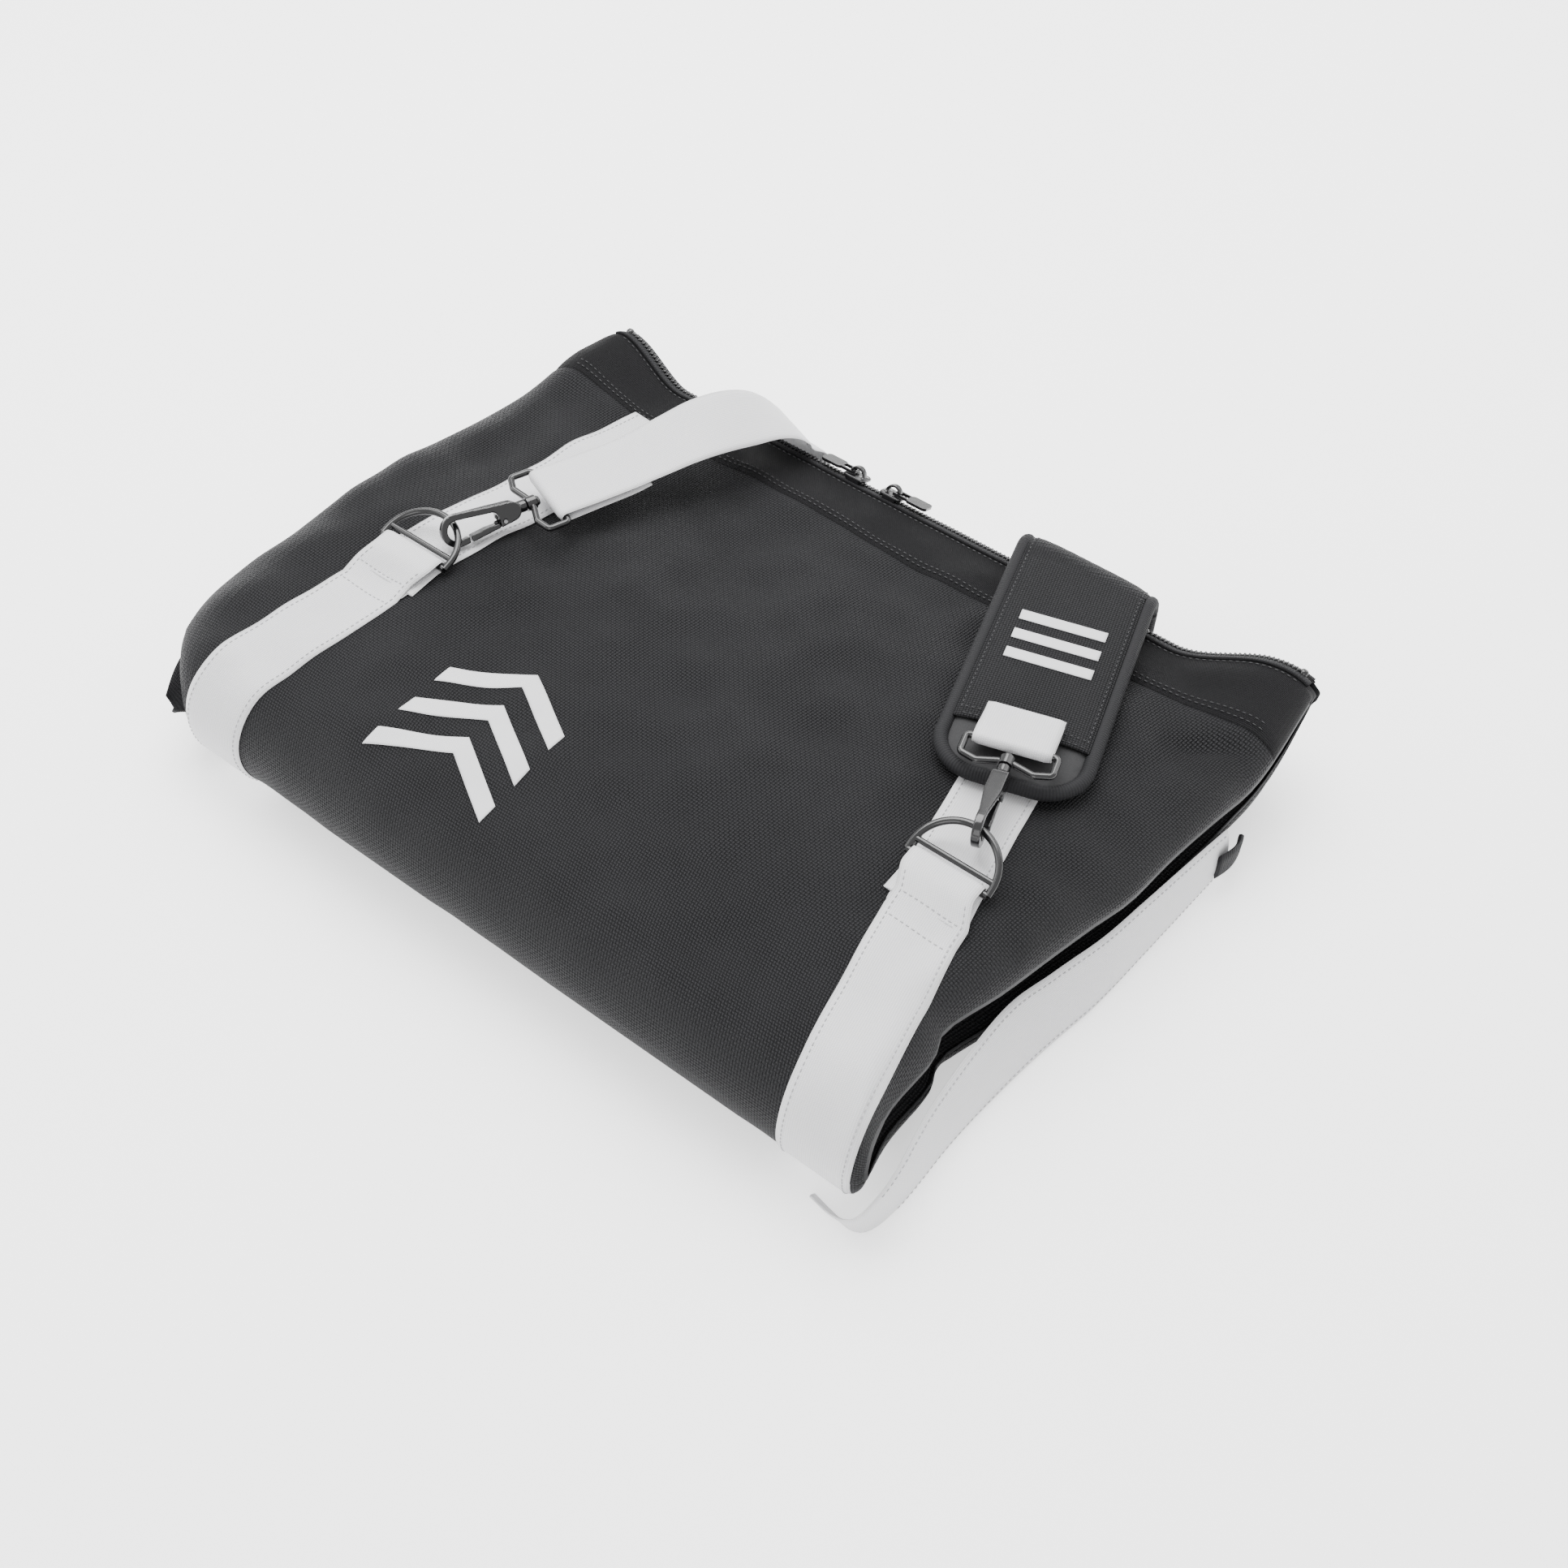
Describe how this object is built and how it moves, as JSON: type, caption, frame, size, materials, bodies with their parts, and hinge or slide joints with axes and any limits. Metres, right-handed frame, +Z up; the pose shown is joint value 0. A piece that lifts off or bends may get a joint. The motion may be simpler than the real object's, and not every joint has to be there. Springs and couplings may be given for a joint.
{
  "type": "soft carry bag",
  "caption": "Flat soft carry bag lying empty on its back, with a zip along the top edge, sewn webbing, rings, swivel hooks and a padded carry strap.",
  "frame": {"origin": "centre of the footprint, on the surface that the bag lies on", "axes": "+X along the bottom fold, +Y from the fold to the zip, +Z up through the front panel"},
  "size_m": [0.4846, 0.352, 0.096],
  "materials": {
    "black_weave": "coarse ballistic nylon",
    "hem_fabric": "finer smooth nylon",
    "lining_fabric": "thin coated nylon",
    "white_webbing": "satin woven webbing",
    "zip_tape": "woven zip tape",
    "zip_coil": "moulded coil",
    "black_metal": "gloss black plated",
    "spring_steel": "bright",
    "pad_fabric": "soft weave",
    "pad_foam": "closed cell foam",
    "binding_tape": "ribbed tape",
    "white_print": "printed",
    "tab_fabric": "folded fabric"
  },
  "bodies": {
    "bag": {"front_panel": "black_weave", "back_panel": "black_weave", "front_hem": "hem_fabric", "back_hem": "hem_fabric", "zip_tape_front": "zip_tape", "zip_tape_back": "zip_tape", "gusset_left": "black_weave", "gusset_right": "black_weave", "lining": "lining_fabric", "body_strap_left": "white_webbing", "body_strap_right": "white_webbing", "under_strap_left": "white_webbing", "ring_loop_left": "white_webbing", "ring_loop_right": "white_webbing", "tail_strap_left": "white_webbing", "tail_strap_right": "white_webbing", "side_band_right": "white_webbing", "band_end_tab": "tab_fabric", "zip_chain": "zip_coil", "zip_stops": "black_metal", "front_emblem": "white_print"},
    "carry_strap": {"shoulder_webbing": "white_webbing", "pad_backing": "pad_fabric", "pad_foam": "pad_foam", "pad_cover": "pad_fabric", "pad_binding": "binding_tape", "pad_stripes": "white_print", "eye_left": "black_metal", "eye_right": "black_metal"},
    "ring_left": {"dring_left": "black_metal"},
    "swivel_hook_left": {"hook_left": "black_metal", "gate_pin_left": "spring_steel", "gate_spring_left": "spring_steel"},
    "hook_gate_left": {"gate_left": "black_metal"},
    "zip_slider_left": {"slider_left": "black_metal"},
    "zip_pull_left": {"pull_left": "black_metal"},
    "ring_right": {"dring_right": "black_metal"},
    "swivel_hook_right": {"hook_right": "black_metal", "gate_pin_right": "spring_steel", "gate_spring_right": "spring_steel"},
    "hook_gate_right": {"gate_right": "black_metal"},
    "zip_slider_right": {"slider_right": "black_metal"},
    "zip_pull_right": {"pull_right": "black_metal"}
  },
  "joints": [
    {"name": "strap_lift", "type": "hinge", "parent": "bag", "child": "carry_strap", "pos_m": [0, -0.0444, 0.0781], "axis": [1, 0, 0], "range_deg": [0, 105]},
    {"name": "ring_swing_left", "type": "hinge", "parent": "bag", "child": "ring_left", "pos_m": [0, -0.0444, 0.0781], "axis": [1, 0, 0], "range_deg": [0, 105]},
    {"name": "hook_swivel_left", "type": "hinge", "parent": "carry_strap", "child": "swivel_hook_left", "pos_m": [-0.14929, -0.02408, 0.08354], "axis": [0.3582, 0.933, -0.0349], "range_deg": [0, 50]},
    {"name": "gate_open_left", "type": "hinge", "parent": "swivel_hook_left", "child": "hook_gate_left", "pos_m": [-0.13864, -0.00153, 0.07959], "axis": [-0.8067, 0.2904, -0.5147], "range_deg": [0, 20], "stiffness_Nm_per_rad": 0.02, "springref_deg": -17.19},
    {"name": "slider_run_left", "type": "slide", "parent": "bag", "child": "zip_slider_left", "axis": [1, 0, 0], "range_m": [-0.105, 0.004]},
    {"name": "pull_swing_left", "type": "hinge", "parent": "zip_slider_left", "child": "zip_pull_left", "pos_m": [-0.03355, 0.16213, 0.05266], "axis": [0, 0.9147, -0.404], "range_deg": [0, 120]},
    {"name": "ring_swing_right", "type": "hinge", "parent": "bag", "child": "ring_right", "pos_m": [0, -0.0444, 0.0781], "axis": [1, 0, 0], "range_deg": [0, 105]},
    {"name": "hook_swivel_right", "type": "hinge", "parent": "carry_strap", "child": "swivel_hook_right", "pos_m": [0.167, -0.02173, 0.08726], "axis": [-0.2903, 0.9555, -0.0523], "range_deg": [-25, 35]},
    {"name": "gate_open_right", "type": "hinge", "parent": "swivel_hook_right", "child": "hook_gate_right", "pos_m": [0.16004, 0.00205, 0.08236], "axis": [-0.9534, -0.2935, -0.0697], "range_deg": [0, 20], "stiffness_Nm_per_rad": 0.02, "springref_deg": -17.19},
    {"name": "slider_run_right", "type": "slide", "parent": "bag", "child": "zip_slider_right", "axis": [1, 0, 0], "range_m": [-0.004, 0.165]},
    {"name": "pull_swing_right", "type": "hinge", "parent": "zip_slider_right", "child": "zip_pull_right", "pos_m": [-0.00645, 0.16213, 0.05266], "axis": [0, -0.9147, 0.404], "range_deg": [0, 120]}
  ],
  "couplings": [
    {"joint": "ring_swing_left", "follows": "strap_lift", "ratio": 1},
    {"joint": "ring_swing_right", "follows": "strap_lift", "ratio": 1}
  ]
}
